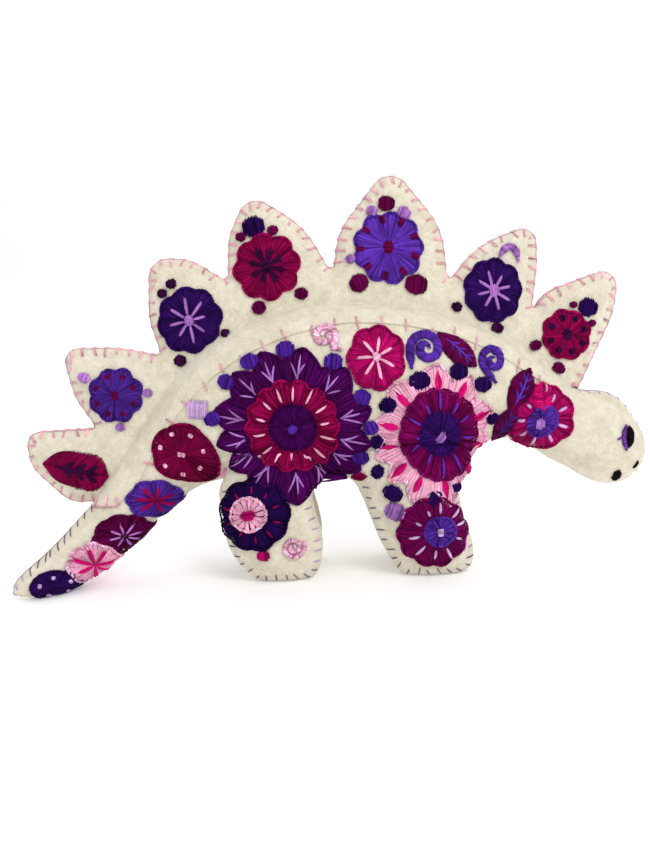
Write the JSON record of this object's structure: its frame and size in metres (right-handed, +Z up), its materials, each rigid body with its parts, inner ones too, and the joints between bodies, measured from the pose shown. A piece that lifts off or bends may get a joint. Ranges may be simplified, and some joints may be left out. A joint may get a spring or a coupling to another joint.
{
  "type": "stuffed toy dinosaur",
  "caption": "Stuffed felt stegosaur toy standing on four legs, with a row of padded back plates and raised wool embroidery on both sides.",
  "frame": {"origin": "on the floor, under the centre of the toy's bounding box", "axes": "+X towards the snout, +Y towards the animal's left side, +Z up"},
  "size_m": [0.2924, 0.0767, 0.1824],
  "materials": {
    "cream_felt": "matt wool felt with a soft nap",
    "stuffing": "loose fibre fill, hidden",
    "violet_yarn": "soft satin-stitched wool yarn",
    "indigo_yarn": "soft satin-stitched wool yarn",
    "crimson_yarn": "soft satin-stitched wool yarn",
    "pink_yarn": "soft wool yarn",
    "lilac_yarn": "soft wool yarn",
    "black_yarn": "soft wool yarn"
  },
  "bodies": {
    "root": {"back_flower_left": "crimson_yarn", "back_flower_right": "crimson_yarn", "belly_gusset": "cream_felt", "body_stuffing": "stuffing", "body_whip_stitch": "lilac_yarn", "crest_blanket_stitch": "pink_yarn", "crest_panel_left": "cream_felt", "crest_panel_right": "cream_felt", "crest_stuffing": "stuffing", "eye_left": "black_yarn", "eye_right": "black_yarn", "face_stitches_left": "black_yarn", "face_stitches_right": "black_yarn", "flank_dots_left": "violet_yarn", "flank_dots_right": "violet_yarn", "flank_leaves_left": "crimson_yarn", "flank_leaves_right": "crimson_yarn", "fore_leg_flower_left": "crimson_yarn", "fore_leg_flower_right": "crimson_yarn", "hind_leg_flower_left": "indigo_yarn", "hind_leg_flower_right": "indigo_yarn", "hip_flower_left": "indigo_yarn", "hip_flower_right": "indigo_yarn", "leg_whip_stitch": "lilac_yarn", "neck_flower_left": "crimson_yarn", "neck_flower_right": "crimson_yarn", "plate_1_leaf_left": "crimson_yarn", "plate_1_leaf_right": "crimson_yarn", "plate_2_flower_left": "violet_yarn", "plate_2_flower_right": "violet_yarn", "plate_3_flower_left": "indigo_yarn", "plate_3_flower_right": "indigo_yarn", "plate_4_flower_left": "crimson_yarn", "plate_4_flower_right": "crimson_yarn", "plate_5_flower_left": "violet_yarn", "plate_5_flower_right": "violet_yarn", "plate_6_flower_left": "indigo_yarn", "plate_6_flower_right": "indigo_yarn", "plate_7_flower_left": "crimson_yarn", "plate_7_flower_right": "crimson_yarn", "plate_dots_left": "crimson_yarn", "plate_dots_right": "crimson_yarn", "rump_patch_left": "crimson_yarn", "rump_patch_right": "crimson_yarn", "saddle_tacking": "pink_yarn", "shoulder_flower_left": "crimson_yarn", "shoulder_flower_right": "crimson_yarn", "side_panel_left": "cream_felt", "side_panel_right": "cream_felt", "spiral_stitches_left": "violet_yarn", "spiral_stitches_right": "violet_yarn", "tail_flower_1_left": "indigo_yarn", "tail_flower_1_right": "indigo_yarn", "tail_flower_2_left": "crimson_yarn", "tail_flower_2_right": "crimson_yarn", "tail_flower_3_left": "pink_yarn", "tail_flower_3_right": "pink_yarn", "tail_patch_left": "indigo_yarn", "tail_patch_right": "indigo_yarn"}
  },
  "joints": []
}
